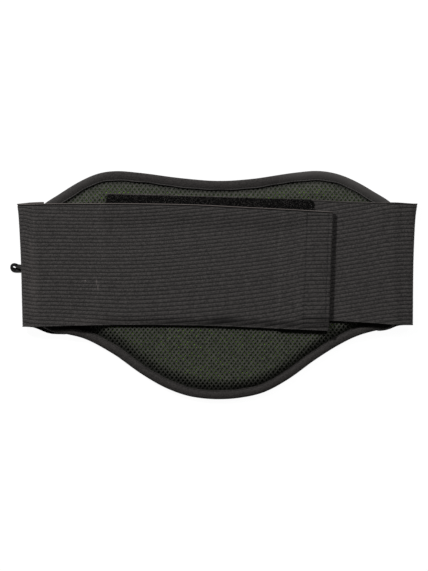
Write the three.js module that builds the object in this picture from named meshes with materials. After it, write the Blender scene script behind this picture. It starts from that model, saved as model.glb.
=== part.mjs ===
// A kidney belt, folded flat and lying on its outer face: a padded back panel
// with a mesh lining and a bound edge, and two wide ribbed elastic bands. Each
// band is sewn under one end of the panel, folds round that end and crosses the
// lining, the left band over the right one. Its turned-under end carries a hook
// panel, and a strip of looped pile runs along the right band's top edge.
//
// Millimetres. X runs along the belt, Y up its height and Z away from the
// surface that it lies on. The origin is on the middle of the outer face.
import * as THREE from "three";

// Driving dimensions
const GAP = 0.3; // clearance between two pieces that touch
const PAD_THICK = 10; // whole panel, from the outer face to the top of the lining
const LINING_THICK = 2.6;
const FLANGE_THICK = 1.05; // foam and lining alike, where the binding squeezes them
const TAPE_THICK = 1; // binding tape
const BINDING_WIDTH = 9.6; // as it shows on each face
const NOSE = 2; // how far in from the edge the binding is rounded over
const NOSE_ANGLES = [-90, -45, 0, 45, 90]; // round that edge, from below to above
const BAND_THICK = 1.8;
const STRIP_THICK = 1.8;
const STRIP_WIDTH = 11.3;
const STRIP_CORNER = 3.5;
const HOOK_THICK = 1.2;
const LOOP_TAPE_THICK = 0.8;
const LOOP_TAPE_WIDTH = 4;

// Heights of the stack, worked out from the thicknesses
const BINDING_HEIGHT = 2 * TAPE_THICK + 2 * FLANGE_THICK + 3 * GAP;
const FLANGE_LEVEL = TAPE_THICK + GAP; // underside of the squeezed foam
const LINING_FLANGE_LEVEL = FLANGE_LEVEL + FLANGE_THICK + GAP;
const LINING_LEVEL = PAD_THICK - LINING_THICK; // underside of the lining on the full foam
const LAYER = BAND_THICK + GAP; // what one more layer of band adds
const ON_PAD = PAD_THICK + GAP; // underside of a band that lies on the lining
const ON_BAND = ON_PAD + LAYER;
const STRIP_RISE = STRIP_THICK + GAP;
const HOOK_RISE = HOOK_THICK + GAP;
const LOOP_RISE = LOOP_TAPE_THICK + GAP;

// How far in from the outline the panel's surfaces change: the end of the
// binding, the foot and middle of the padded slope, and its top
const CAVITY = TAPE_THICK + GAP;
const SLOPE_FOOT = BINDING_WIDTH + GAP;
const SLOPE_MIDDLE = 14;
const SLOPE_TOP = 20;
const SLOPE_DROP = { foam: 1.7, lining: 2.4 }; // how far the slope's middle lies below its top
const SLOPE_RISE = 0.5; // share of the rim's climb that the slope's middle follows

// The panel's rim climbs onto the sewn-on bands between two distances from the
// middle of the belt, and its left end climbs again onto the hanging loop's tape
const LAP = { start: 138, full: 158 };
const LOOP_SEAT = { start: 172, full: 187 };
const UNDERSIDE_STEPS = [58, 46, 34, 22]; // distances in that let the underside follow the climb

// The panel narrows towards this line when its outline is drawn inwards
const HEART = { half: 120, y: 20 };
const OUTLINE_SIDES = 116;

// The panel's outline from its left tip, along the lower edge and back over the top
const OUTLINE = [
  { x: -193.1, y: 27.8 },
  { x: -191.6, y: -12 },
  { x: -187, y: -36 },
  { x: -179, y: -47.2 },
  { x: -167, y: -50.9 },
  { x: -151, y: -51.6 },
  { x: -134, y: -56.3 },
  { x: -105, y: -71.9 },
  { x: -78.3, y: -90.8 },
  { x: -53.6, y: -105.2 },
  { x: -28.8, y: -114.2 },
  { x: -2.1, y: -117.4 },
  { x: 24.7, y: -115.8 },
  { x: 49.4, y: -109.6 },
  { x: 74.2, y: -96.4 },
  { x: 103, y: -75.3 },
  { x: 128, y: -59.8 },
  { x: 147, y: -51 },
  { x: 164.8, y: -46.4 },
  { x: 177.2, y: -45 },
  { x: 187, y: -37 },
  { x: 192.6, y: -12 },
  { x: 193.6, y: 25 },
  { x: 192, y: 57 },
  { x: 184.5, y: 79.8 },
  { x: 160.7, y: 96.6 },
  { x: 136, y: 110 },
  { x: 119.5, y: 115.3 },
  { x: 103, y: 117.2 },
  { x: 78.3, y: 115.2 },
  { x: 37.1, y: 109.2 },
  { x: 2.1, y: 107 },
  { x: -37.1, y: 110 },
  { x: -78.3, y: 115.3 },
  { x: -103, y: 117 },
  { x: -119.5, y: 115.2 },
  { x: -136, y: 108.9 },
  { x: -160.7, y: 93.9 },
  { x: -183, y: 77.3 },
  { x: -191, y: 57 },
];

// Each band's edges along its rear run, from the sewn end to the fold, and along
// its front run, from the fold to the free end
const LEFT_BAND = {
  side: -1,
  rear: [
    { x: -171, bottom: -50.6, top: 85.3 },
    { x: -178, bottom: -48, top: 85.3 },
    { x: -188, bottom: -43.8, top: 84.8 },
    { x: -203, bottom: -43.1, top: 84 },
  ],
  front: [
    { x: -203, bottom: -43.1, top: 83.4 },
    { x: -171, bottom: -42.6, top: 84.5 },
    { x: -115, bottom: -41.3, top: 84.5 },
    { x: -58, bottom: -41.2, top: 83.4 },
    { x: -16, bottom: -41.8, top: 82.4 },
    { x: 25, bottom: -43.1, top: 80.3 },
    { x: 66, bottom: -45, top: 78.3 },
    { x: 121, bottom: -47.3, top: 75.2 },
  ],
  // Where the sewn end, the outside of the fold, the hem and the free end lie at
  // a share of the band's width, from its lower edge
  lines: [
    { share: 0, sewn: -166.3, fold: -198.8, hem: 63.9, free: 115.9 },
    { share: 0.25, sewn: -169.1, fold: -199.6, hem: 65.2, free: 117 },
    { share: 0.5, sewn: -171.9, fold: -200.4, hem: 66.5, free: 118.1 },
    { share: 0.75, sewn: -174.7, fold: -201.8, hem: 67.8, free: 119.2 },
    { share: 1, sewn: -177.5, fold: -204.5, hem: 69, free: 120.3 },
  ],
  shares: [0, 0.03, 0.075, 0.12, 0.35, 0.65, 0.93, 0.965, 1],
  crossings: [-174, -150, -126, -120, -114.5, -80, -40, 0, 35],
};
const RIGHT_BAND = {
  side: 1,
  rear: [
    { x: 171, bottom: -47.3, top: 85 },
    { x: 178, bottom: -45.8, top: 85 },
    { x: 188, bottom: -42, top: 84.8 },
    { x: 203, bottom: -41.4, top: 84 },
  ],
  front: [
    { x: 203, bottom: -41.4, top: 83.8 },
    { x: 185, bottom: -40.9, top: 84.9 },
    { x: 158, bottom: -39, top: 85.1 },
    { x: 132, bottom: -37.5, top: 86 },
    { x: 107, bottom: -36.4, top: 87.3 },
    { x: 45, bottom: -33.5, top: 89.3 },
    { x: -37, bottom: -30.1, top: 92.2 },
    { x: -113, bottom: -27.3, top: 94.1 },
  ],
  lines: [
    { share: 0, sewn: 166.3, fold: 202.3, free: -114 },
    { share: 0.5, sewn: 171.9, fold: 202.9, free: -113.2 },
    { share: 0.8, sewn: 175.3, fold: 204.3, free: -112.7 },
    { share: 1, sewn: 177.5, fold: 207.4, free: -112.3 },
  ],
  shares: [0, 0.25, 0.5, 0.8, 0.92, 1],
  crossings: [174, 140, 100, 60, 20, -20, -60, -90],
};
const BEND_START = 190; // distance from the middle where a band leaves the panel's end
const BEND_STEPS = 8;
const RAMP = { start: 190, full: 174 }; // where the front run climbs onto the lining
const REAR_STEPS = 4;

// Where the left band climbs onto the right one, as places along X and shares of
// its width: it droops past the right band's lower edge
const ONTO_BAND = { start: -126, full: -114.5, low: 0.03, high: 0.075 };
const ONTO_STRIP = { low: 0.93, high: 0.965, left: 101, right: 110 };
const ONTO_HOOK = { start: 80, full: 90, low: 0.075, high: 0.12 };
const HEM_STEP = 3; // how far the top takes to fall from the hem to the single band

// Middle, size and clockwise lean in degrees of the two halves of the fastening
const HOOK = { x: 102.8, y: 20, width: 23.5, height: 102, corner: 1, thick: HOOK_THICK, lean: 1.65 };
const STRIP = {
  x: -6.1,
  y: 84.9,
  width: 213.6,
  height: STRIP_WIDTH,
  corner: STRIP_CORNER,
  thick: STRIP_THICK,
  lean: 1.55,
};

// The hanging loop's middle line from one sewn end to the other, and how far its
// tape is turned on edge, in degrees
const HANGING_LOOP = [
  { x: -188, y: 19.6, z: 0.4, turn: 0 },
  { x: -196, y: 19.6, z: 0.4, turn: 0 },
  { x: -200.5, y: 19.9, z: 0.7, turn: 12 },
  { x: -203.5, y: 20.7, z: 1.6, turn: 50 },
  { x: -206.5, y: 21.2, z: 2.2, turn: 76 },
  { x: -209.2, y: 20.6, z: 2.4, turn: 88 },
  { x: -210.6, y: 18.6, z: 2.2, turn: 88 },
  { x: -209.6, y: 16.3, z: 1.7, turn: 66 },
  { x: -206.6, y: 15, z: 1.1, turn: 34 },
  { x: -203, y: 14.8, z: 0.6, turn: 14 },
  { x: -199, y: 15.1, z: 0.4, turn: 0 },
  { x: -188, y: 15.1, z: 0.4, turn: 0 },
];
const LOOP_SECTIONS = 32;

// Numbers and tables
function between(table, input, value, output) {
  const rows = table.toSorted((a, b) => a[input] - b[input]);
  const next = rows.findIndex((row) => row[input] >= value);
  if (next === -1) {
    return rows.at(-1)[output];
  }
  if (next === 0) {
    return rows[0][output];
  }
  const low = rows[next - 1];
  const high = rows[next];
  const share = (value - low[input]) / (high[input] - low[input]);
  return THREE.MathUtils.lerp(low[output], high[output], share);
}

const climb = (value, { start, full }) => {
  const share = THREE.MathUtils.clamp((value - start) / (full - start), 0, 1);
  return THREE.MathUtils.smoothstep(share, 0, 1);
};

function climbBySeat(share, { low, high }) {
  return climb(share, { start: low, full: high });
}

// How far the panel's left end is raised by the tape that is sewn beneath it
function loopRise(x) {
  return LOOP_RISE * climb(-x, LOOP_SEAT);
}

// How far the panel's rim is raised by all that is sewn beneath it
function rimRise(x) {
  return LAYER * climb(Math.abs(x), LAP) + loopRise(x);
}

// Closed bodies
function bodyFrom(points, faces) {
  const geometry = new THREE.BufferGeometry();
  const positions = points.flatMap(({ x, y, z }) => [x, y, z]);
  geometry.setAttribute("position", new THREE.Float32BufferAttribute(positions, 3));
  geometry.setIndex(faces.flat());
  geometry.computeVertexNormals();
  return geometry;
}

// The faces between one ring of points and the next
function wallFaces(ring, nextRing, count, crossed = false) {
  const faces = [];
  for (let here = 0; here < count; here += 1) {
    const there = (here + 1) % count;
    const near = ring * count + here;
    const nearNext = ring * count + there;
    const far = nextRing * count + here;
    const farNext = nextRing * count + there;
    if (crossed) {
      faces.push([near, nearNext, far], [nearNext, farNext, far]);
    } else {
      faces.push([near, nearNext, farNext], [near, farNext, far]);
    }
  }
  return faces;
}

// The wall from one ring of the panel to the next. The diagonals of its faces run
// the same way whether it goes out or in, so that walls that lie on each other fit.
function panelWall(rings, ring, nextRing) {
  const leftTip = (points) => points[0].x;
  const goesOut = leftTip(rings[nextRing]) < leftTip(rings[ring]);
  return wallFaces(ring, nextRing, rings[0].length, goesOut);
}

// A body whose wall joins up with itself, so that it has no ends
function ringBody(rings) {
  const walls = rings.map((_, ring) => panelWall(rings, ring, (ring + 1) % rings.length));
  return bodyFrom(rings.flat(), walls.flat());
}

// A body that starts with a flat underside and ends with a flat top
function cushionBody(rings) {
  const count = rings[0].length;
  const walls = rings.slice(1).map((_, ring) => panelWall(rings, ring, ring + 1));
  const lid = (ring) => {
    const shift = ring * count;
    return THREE.ShapeUtils.triangulateShape(rings[ring], []).map((face) => face.map((at) => at + shift));
  };
  const underside = lid(0).map(([a, b, c]) => [a, c, b]);
  return bodyFrom(rings.flat(), [...walls.flat(), ...underside, ...lid(rings.length - 1)]);
}

// A body through sections that go out along one face and back along the other
function ribbonBody(sections) {
  const count = sections[0].length;
  const walls = sections.slice(1).map((_, section) => wallFaces(section, section + 1, count));
  const end = (section) => {
    const faces = [];
    for (let here = 0; here < count / 2 - 1; here += 1) {
      const near = section * count + here;
      const far = section * count + count - 1 - here;
      faces.push([near, far, near + 1], [near + 1, far, far - 1]);
    }
    return faces;
  };
  const lastEnd = end(sections.length - 1).map(([a, b, c]) => [a, c, b]);
  return bodyFrom(sections.flat(), [...walls.flat(), ...end(0), ...lastEnd]);
}

// The panel
function drawOutline() {
  const corners = OUTLINE.map(({ x, y }) => new THREE.Vector3(x, y, 0));
  const curve = new THREE.CatmullRomCurve3(corners, true, "centripetal");
  return Array.from({ length: OUTLINE_SIDES }, (_, side) => {
    const along = side / OUTLINE_SIDES;
    const tangent = curve.getTangentAt(along);
    return { point: curve.getPointAt(along), inward: new THREE.Vector3(-tangent.y, tangent.x, 0) };
  });
}
const outline = drawOutline();

// The outline drawn inwards: squarely as far as the slope's foot, then towards the heart line
function insetPoint({ point, inward }, depth) {
  const place = point.clone().addScaledVector(inward, Math.min(depth, SLOPE_FOOT));
  if (depth <= SLOPE_FOOT) {
    return place;
  }
  const heartX = THREE.MathUtils.clamp(place.x, -HEART.half, HEART.half);
  const step = new THREE.Vector3(heartX, HEART.y, 0).sub(place);
  return place.add(step.setLength(depth - SLOPE_FOOT));
}

// One ring of the panel. It follows the climb of the rim by the share in rise.
function panelRing({ depth, level, rise = 1 }) {
  return outline.map((side) => {
    const place = insetPoint(side, depth);
    return place.setZ(level + rise * rimRise(place.x));
  });
}

function backPad() {
  const rings = [
    ...UNDERSIDE_STEPS.map((depth) => ({ depth, level: 0 })),
    { depth: SLOPE_FOOT, level: 0 },
    { depth: SLOPE_FOOT, level: FLANGE_LEVEL },
    { depth: CAVITY, level: FLANGE_LEVEL },
    { depth: CAVITY, level: FLANGE_LEVEL + FLANGE_THICK },
    { depth: SLOPE_FOOT, level: FLANGE_LEVEL + FLANGE_THICK },
    { depth: SLOPE_MIDDLE, level: LINING_LEVEL - GAP - SLOPE_DROP.foam, rise: SLOPE_RISE },
    { depth: SLOPE_TOP, level: LINING_LEVEL - GAP, rise: 0 },
  ];
  return cushionBody(rings.map(panelRing));
}

function meshLining() {
  const rings = [
    { depth: SLOPE_TOP, level: LINING_LEVEL, rise: 0 },
    { depth: SLOPE_MIDDLE, level: LINING_LEVEL - SLOPE_DROP.foam, rise: SLOPE_RISE },
    { depth: SLOPE_FOOT, level: LINING_FLANGE_LEVEL },
    { depth: CAVITY, level: LINING_FLANGE_LEVEL },
    { depth: CAVITY, level: LINING_FLANGE_LEVEL + FLANGE_THICK },
    { depth: SLOPE_FOOT, level: LINING_FLANGE_LEVEL + FLANGE_THICK },
    { depth: SLOPE_MIDDLE, level: PAD_THICK - SLOPE_DROP.lining, rise: SLOPE_RISE },
    { depth: SLOPE_TOP, level: PAD_THICK, rise: 0 },
  ];
  return cushionBody(rings.map(panelRing));
}

function edgeBinding() {
  const nose = NOSE_ANGLES.map((degrees) => {
    const angle = THREE.MathUtils.degToRad(degrees);
    return { depth: NOSE * (1 - Math.cos(angle)), level: (BINDING_HEIGHT / 2) * (1 + Math.sin(angle)) };
  });
  const rings = [
    { depth: BINDING_WIDTH, level: 0 },
    ...nose,
    { depth: BINDING_WIDTH, level: BINDING_HEIGHT },
    { depth: BINDING_WIDTH, level: BINDING_HEIGHT - TAPE_THICK },
    { depth: TAPE_THICK, level: BINDING_HEIGHT - TAPE_THICK },
    { depth: TAPE_THICK, level: TAPE_THICK },
    { depth: BINDING_WIDTH, level: TAPE_THICK },
  ];
  return ringBody(rings.map(panelRing));
}

// The bands. A band's middle surface is worked out at each share of its width, as
// a run of places from the sewn end to the free end.
function bandEdgePlace(table, x, share) {
  return THREE.MathUtils.lerp(between(table, "x", x, "bottom"), between(table, "x", x, "top"), share);
}

function rearRun(band, share) {
  const sewn = between(band.lines, "share", share, "sewn");
  const bend = band.side * BEND_START;
  return Array.from({ length: REAR_STEPS }, (_, step) => {
    const x = THREE.MathUtils.lerp(sewn, bend, step / REAR_STEPS);
    const z = BAND_THICK / 2 + loopRise(x);
    return { x, y: bandEdgePlace(band.rear, x, share), z, thick: BAND_THICK };
  });
}

function foldRun(band, share, frontLevel) {
  const rearLevel = BAND_THICK / 2 + loopRise(band.side * BEND_START);
  const reach = Math.abs(between(band.lines, "share", share, "fold")) - BAND_THICK / 2 - BEND_START;
  return Array.from({ length: BEND_STEPS + 1 }, (_, step) => {
    const angle = Math.PI * (step / BEND_STEPS - 0.5);
    const x = band.side * (BEND_START + reach * Math.cos(angle));
    const z = THREE.MathUtils.mapLinear(Math.sin(angle), -1, 1, rearLevel, frontLevel);
    const rear = bandEdgePlace(band.rear, x, share);
    const front = bandEdgePlace(band.front, x, share);
    return { x, y: THREE.MathUtils.lerp(rear, front, step / BEND_STEPS), z, thick: BAND_THICK };
  });
}

// Where the front run's underside lies before it crosses anything but the panel
function overPanel(band, x) {
  const overEnd = BINDING_HEIGHT + rimRise(band.side * BEND_START) + GAP;
  return THREE.MathUtils.lerp(overEnd, ON_PAD, climb(band.side * x, RAMP));
}

function leftUnderside(x, share) {
  const ontoBand = LAYER * climb(x, ONTO_BAND) * climbBySeat(share, ONTO_BAND);
  const stripEnd = 1 - climb(x, { start: ONTO_STRIP.left, full: ONTO_STRIP.right });
  const ontoStrip = STRIP_RISE * climb(x, ONTO_BAND) * climbBySeat(share, ONTO_STRIP) * stripEnd;
  const ontoHook = HOOK_RISE * climb(x, ONTO_HOOK) * climbBySeat(share, ONTO_HOOK);
  return overPanel(LEFT_BAND, x) + ontoBand + Math.max(ontoStrip, ontoHook);
}

function leftFrontRun(share) {
  const hem = between(LEFT_BAND.lines, "share", share, "hem");
  const free = between(LEFT_BAND.lines, "share", share, "free");
  const { start, full } = ONTO_HOOK;
  const tab = [hem - HEM_STEP, hem, start, full, ONTO_STRIP.left, ONTO_STRIP.right, free];
  return [-(BEND_START + RAMP.full) / 2, ...LEFT_BAND.crossings, ...tab].map((x) => {
    const thick = x < hem ? BAND_THICK : 2 * BAND_THICK;
    const z = leftUnderside(x, share) + thick / 2;
    return { x, y: bandEdgePlace(LEFT_BAND.front, x, share), z, thick };
  });
}

function rightFrontRun(share) {
  const free = between(RIGHT_BAND.lines, "share", share, "free");
  const crossings = [(BEND_START + RAMP.full) / 2, ...RIGHT_BAND.crossings, free];
  return crossings.map((x) => {
    const z = overPanel(RIGHT_BAND, x) + BAND_THICK / 2;
    return { x, y: bandEdgePlace(RIGHT_BAND.front, x, share), z, thick: BAND_THICK };
  });
}

// A band with its thickness, measured squarely to its middle surface
function bandBody(band, frontRun) {
  const frontLevel = overPanel(band, band.side * BEND_START) + BAND_THICK / 2;
  const runs = band.shares.map((share) => [
    ...rearRun(band, share),
    ...foldRun(band, share, frontLevel),
    ...frontRun(share),
  ]);
  const sections = runs[0].map((_, station) => {
    const places = runs.map((run) => new THREE.Vector3(run[station].x, run[station].y, run[station].z));
    const before = runs.map((run) => run[Math.max(station - 1, 0)]);
    const after = runs.map((run) => run[Math.min(station + 1, run.length - 1)]);
    const offsets = places.map((place, at) => {
      const along = new THREE.Vector3().subVectors(after[at], before[at]);
      const next = places[Math.min(at + 1, places.length - 1)];
      const across = new THREE.Vector3().subVectors(next, places[Math.max(at - 1, 0)]);
      return across.cross(along).setLength(runs[at][station].thick / 2);
    });
    const near = places.map((place, at) => place.clone().add(offsets[at]));
    const far = places.map((place, at) => place.clone().sub(offsets[at]));
    return [...near, ...far.reverse()];
  });
  return ribbonBody(sections);
}

// The fastening
function roundedPatch({ width, height, corner, thick }) {
  const half = new THREE.Vector2(width / 2, height / 2);
  const shape = new THREE.Shape();
  shape.absarc(half.x - corner, half.y - corner, corner, 0, Math.PI / 2);
  shape.absarc(corner - half.x, half.y - corner, corner, Math.PI / 2, Math.PI);
  shape.absarc(corner - half.x, corner - half.y, corner, Math.PI, Math.PI * 1.5);
  shape.absarc(half.x - corner, corner - half.y, corner, Math.PI * 1.5, Math.PI * 2);
  return new THREE.ExtrudeGeometry(shape, { depth: thick, bevelEnabled: false, curveSegments: 4 });
}

// The hanging loop
function hangingLoop() {
  const middle = new THREE.CatmullRomCurve3(HANGING_LOOP.map(({ x, y, z }) => new THREE.Vector3(x, y, z)));
  const up = new THREE.Vector3(0, 0, 1);
  const sections = Array.from({ length: LOOP_SECTIONS + 1 }, (_, section) => {
    const along = section / LOOP_SECTIONS;
    const row = along * (HANGING_LOOP.length - 1);
    const low = HANGING_LOOP[Math.floor(row)];
    const high = HANGING_LOOP[Math.ceil(row)];
    const turn = THREE.MathUtils.degToRad(THREE.MathUtils.lerp(low.turn, high.turn, row - Math.floor(row)));
    const tangent = middle.getTangent(along);
    const side = new THREE.Vector3().crossVectors(up, tangent).normalize();
    const width = side.multiplyScalar(Math.cos(turn)).addScaledVector(up, Math.sin(turn));
    const face = new THREE.Vector3().crossVectors(tangent, width).setLength(LOOP_TAPE_THICK / 2);
    width.setLength(LOOP_TAPE_WIDTH / 2);
    const place = middle.getPoint(along);
    return [
      place.clone().add(width).add(face),
      place.clone().sub(width).add(face),
      place.clone().sub(width).sub(face),
      place.clone().add(width).sub(face),
    ];
  });
  return ribbonBody(sections);
}

// Materials
const cloth = (color, roughness) => new THREE.MeshStandardMaterial({ color, roughness, metalness: 0 });
const shellCloth = cloth(0x2b2a2a, 0.85);
const liningMesh = cloth(0x4a4f42, 0.9);
const bindingTape = cloth(0x302e2d, 0.8);
const ribbedElastic = cloth(0x343231, 0.85);
const loopedPile = cloth(0x1b1a19, 1);
const hookTape = cloth(0x161616, 0.7);
const narrowTape = cloth(0x3a3a38, 0.8);

// The assembly
const belt = new THREE.Group();

function addPiece(name, geometry, material) {
  const piece = new THREE.Mesh(geometry, material);
  piece.name = name;
  belt.add(piece);
  return piece;
}

addPiece("back_pad", backPad(), shellCloth);
addPiece("mesh_lining", meshLining(), liningMesh);
addPiece("edge_binding", edgeBinding(), bindingTape);
addPiece("right_band", bandBody(RIGHT_BAND, rightFrontRun), ribbedElastic);
addPiece("left_band", bandBody(LEFT_BAND, leftFrontRun), ribbedElastic);

[["loop_strip", STRIP, loopedPile], ["hook_panel", HOOK, hookTape]].forEach(([name, patch, material]) => {
  const piece = addPiece(name, roundedPatch(patch), material);
  piece.position.set(patch.x, patch.y, ON_BAND);
  piece.rotation.z = THREE.MathUtils.degToRad(-patch.lean);
});

addPiece("hang_loop", hangingLoop(), narrowTape);

export default belt;
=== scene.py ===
"""A kidney belt, folded flat and lying on its outer face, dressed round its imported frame.

The frame gives the solids in metres. Sizes here are in millimetres and are turned
into metres when a piece is finished. X runs along the belt, Y up its height and Z
out of its lining, as in the frame.
"""

import math
import random

import bmesh
import bpy
from mathutils import Matrix, Vector, noise
from mathutils.bvhtree import BVHTree
from mathutils.kdtree import KDTree


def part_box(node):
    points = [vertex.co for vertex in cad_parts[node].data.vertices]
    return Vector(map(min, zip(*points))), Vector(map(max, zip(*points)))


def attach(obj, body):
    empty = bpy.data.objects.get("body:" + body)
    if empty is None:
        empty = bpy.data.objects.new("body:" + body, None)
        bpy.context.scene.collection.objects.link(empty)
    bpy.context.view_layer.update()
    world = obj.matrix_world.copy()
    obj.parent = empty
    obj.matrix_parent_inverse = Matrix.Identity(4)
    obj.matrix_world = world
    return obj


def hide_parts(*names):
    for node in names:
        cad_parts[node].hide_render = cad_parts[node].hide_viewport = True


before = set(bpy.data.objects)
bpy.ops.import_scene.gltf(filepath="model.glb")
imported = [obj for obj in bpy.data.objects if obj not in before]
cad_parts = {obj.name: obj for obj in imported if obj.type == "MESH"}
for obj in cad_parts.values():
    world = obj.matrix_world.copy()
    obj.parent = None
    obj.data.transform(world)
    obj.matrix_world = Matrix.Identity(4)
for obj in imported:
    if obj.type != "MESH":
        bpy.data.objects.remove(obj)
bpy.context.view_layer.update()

MM = 0.001

# Thicknesses, from the outer face up
GAP = 0.3
PAD_THICK = 10
LINING_THICK = 2.6
FLANGE_THICK = 1.05
TAPE_THICK = 1
BINDING_WIDTH = 9.6
BINDING_HEIGHT = 2 * TAPE_THICK + 2 * FLANGE_THICK + 3 * GAP
BAND_THICK = 1.8
LAYER = BAND_THICK + GAP
ON_PAD = PAD_THICK + GAP
ON_BAND = ON_PAD + LAYER
STRIP_RISE = 1.8 + GAP
HOOK_RISE = 1.2 + GAP
LOOP_TAPE_THICK = 0.8
LOOP_TAPE_WIDTH = 5.1
LOOP_RISE = LOOP_TAPE_THICK + GAP

# The panel's outline from its left tip, along the lower edge and back over the top
OUTLINE = [
    (-193.1, 27.8), (-191.6, -12), (-187, -33), (-178.5, -43), (-167, -48.4), (-151, -51.2),
    (-134, -55.9), (-105, -71.6), (-78.3, -90.6), (-53.6, -105.1), (-28.8, -114.2), (-2.1, -117.6),
    (24.7, -116.2), (49.4, -110.4), (74.2, -97.2), (103, -76.4), (128, -60.9), (147, -51.9),
    (164.8, -46.9), (177.2, -45), (187, -37), (192.6, -12), (193.9, 25), (192.3, 57),
    (184.5, 80.2), (160.7, 97.2), (136, 110.5), (119.5, 115.8), (103, 117.6), (78.3, 115.4),
    (37.1, 109.4), (2.1, 107.3), (-37.1, 110.3), (-78.3, 115.6), (-103, 117.4), (-119.5, 115.3),
    (-136, 108.9), (-160.7, 94.1), (-183, 77.7), (-191, 57),
]
OUTLINE_SIDES = 520

# How a band's edges run, as (x, lower edge, upper edge), how its lines across lie,
# as (share of the width, sewn end, outside of the fold, hem, free end), and how its
# ribs run, as (x, number at the rib level, pitch there, how fast the pitch narrows upwards)
RIB_LEVEL = 20.6
LEFT = {
    "name": "left_elastic",
    "replaces": "left_band",
    "side": -1,
    "rear": [
        (-203, -43.1, 84.4), (-188, -43.8, 85.3), (-178, -47.8, 85.7), (-171, -50.2, 85.7),
        (-160, -50.8, 85.7), (-150, -51.1, 85.7),
    ],
    "front": [
        (-203, -43.1, 82.8), (-171, -42.6, 83.8), (-115, -41.3, 84), (-58, -41.2, 83.4),
        (-16, -41.8, 82.4), (25, -43.1, 80.3), (66, -45, 78.3), (121, -47.3, 75.2),
    ],
    "lines": [
        (0, -155, -199.2, 63.9, 115.9), (0.25, -167.5, -200, 65.2, 117),
        (0.5, -171.9, -200.8, 66.5, 118.1), (0.75, -174.7, -202.2, 67.8, 119.2),
        (0.92, -176.6, -203.6, 68.6, 120), (1, -177.5, -204.9, 69, 120.3),
    ],
    "ribs": [
        (-204, 0.33, 3.8, 0.0003), (-196, 0.48, 3.8, 0.0001), (-187.5, 0.93, 3.79, 0),
        (-163, 0.91, 3.79, 0.0003), (-125, 1.02, 3.83, 0.0006), (-94, 1.03, 3.9, 0.0008),
        (-63, 0.71, 3.93, 0.0008), (-32, 0.09, 3.97, 0.0008), (-1, -0.65, 4.01, 0.0008),
        (30, -1.51, 4.03, 0.0008), (62, -2.6, 4.05, 0.0008), (89, -3.86, 4.03, 0.0009),
        (92, -3.95, 4.03, 0.0009), (121, -4.16, 4.04, 0.0009),
    ],
}
RIGHT = {
    "name": "right_elastic",
    "replaces": "right_band",
    "side": 1,
    "rear": [(171, -47.3, 85), (178, -45.8, 85), (188, -42, 84.8), (203, -41.4, 84)],
    "front": [
        (-113, -27.3, 94.1), (-37, -30.1, 92.2), (45, -33.5, 89.3), (107, -36.4, 87.3),
        (132, -37.5, 86), (158, -39, 85.1), (185, -40.9, 84.9), (203, -41.4, 83.8),
    ],
    "lines": [
        (0, 166.3, 202.8, 0, -114), (0.5, 171.9, 203.4, 0, -113.2), (0.8, 175.3, 204.8, 0, -112.7),
        (0.92, 176.6, 206, 0, -112.4), (1, 177.5, 207.6, 0, -112.3),
    ],
    "ribs": [
        (-113, 8.05, 4.1, -0.0004), (60, 4.9, 4.1, -0.0004), (130, 2.3, 4.1, -0.0004),
        (155, 1.33, 4.1, -0.0004), (172, 0.6, 4.12, -0.0004), (190, 0.14, 4.12, -0.0004),
        (205, 0.03, 4.12, -0.0004),
    ],
}
SEWN_END, FOLD, HEM, FREE_END = 1, 2, 3, 4  # the columns of "lines"
BAND_WIDTH = 126
BEND_START = 193  # how far out the bands lie flat, before they bend round
RAMP_FULL = 184  # where, further in, they lie level on the padding

# Where the left band climbs onto what lies under it
ONTO_BAND = {"x": (-126, -114.5), "share": (0, 0.077)}
ONTO_STRIP = {"x": (110, 101), "share": (0.79, 0.965)}
ONTO_HOOK = {"x": (80, 90), "share": (0.075, 0.12)}

LOOSE = random.Random(7)


# Numbers, tables and curves

def climb(value, start, full):
    share = min(max((value - start) / (full - start), 0), 1)
    return share * share * (3 - 2 * share)


def mix(low, high, share):
    return low + (high - low) * share


def hump(distance, width):
    return math.exp(-((distance / width) ** 2))


def lookup(rows, value, column):
    """A column of a table at a value of its first column, on a smooth curve through the rows."""
    if value <= rows[0][0]:
        return rows[0][column]
    if value >= rows[-1][0]:
        return rows[-1][column]
    at = next(row for row in range(1, len(rows)) if rows[row][0] >= value)

    def slope(row):
        before, after = rows[max(row - 1, 0)], rows[min(row + 1, len(rows) - 1)]
        return (after[column] - before[column]) / (after[0] - before[0])

    low, high = rows[at - 1], rows[at]
    span = high[0] - low[0]
    t = (value - low[0]) / span
    start = (2 * t**3 - 3 * t**2 + 1) * low[column] + (t**3 - 2 * t**2 + t) * span * slope(at - 1)
    end = (3 * t**2 - 2 * t**3) * high[column] + (t**3 - t**2) * span * slope(at)
    return start + end


def rim_rise(x):
    """How far the panel's rim is raised by what is sewn beneath it."""
    return LAYER * climb(abs(x), 134, 152) + loop_rise(x)


def loop_rise(x):
    return LOOP_RISE * climb(-x, 172, 187)


def spline(corners, closed, steps):
    """Points of a smooth curve through the corners, with steps points from one to the next."""
    count = len(corners)
    points = []
    for at in range(count if closed else count - 1):
        if closed:
            before, start, end, after = (corners[(at + shift) % count] for shift in (-1, 0, 1, 2))
        else:
            before, start, end, after = (
                corners[min(max(at + shift, 0), count - 1)] for shift in (-1, 0, 1, 2)
            )
        here = max((end - start).length, 1e-6) ** 0.5
        gone = max((start - before).length ** 0.5, here * 0.5)
        coming = max((after - end).length ** 0.5, here * 0.5)
        leave = (start - before) / gone - (end - before) / (gone + here) + (end - start) / here
        arrive = (end - start) / here - (after - start) / (here + coming) + (after - end) / coming
        leave, arrive = leave * here, arrive * here
        for step in range(steps):
            t = step / steps
            point = (2 * t**3 - 3 * t**2 + 1) * start + (t**3 - 2 * t**2 + t) * leave
            points.append(point + (3 * t**2 - 2 * t**3) * end + (t**3 - t**2) * arrive)
    if not closed:
        points.append(corners[-1].copy())
    return points


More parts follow.
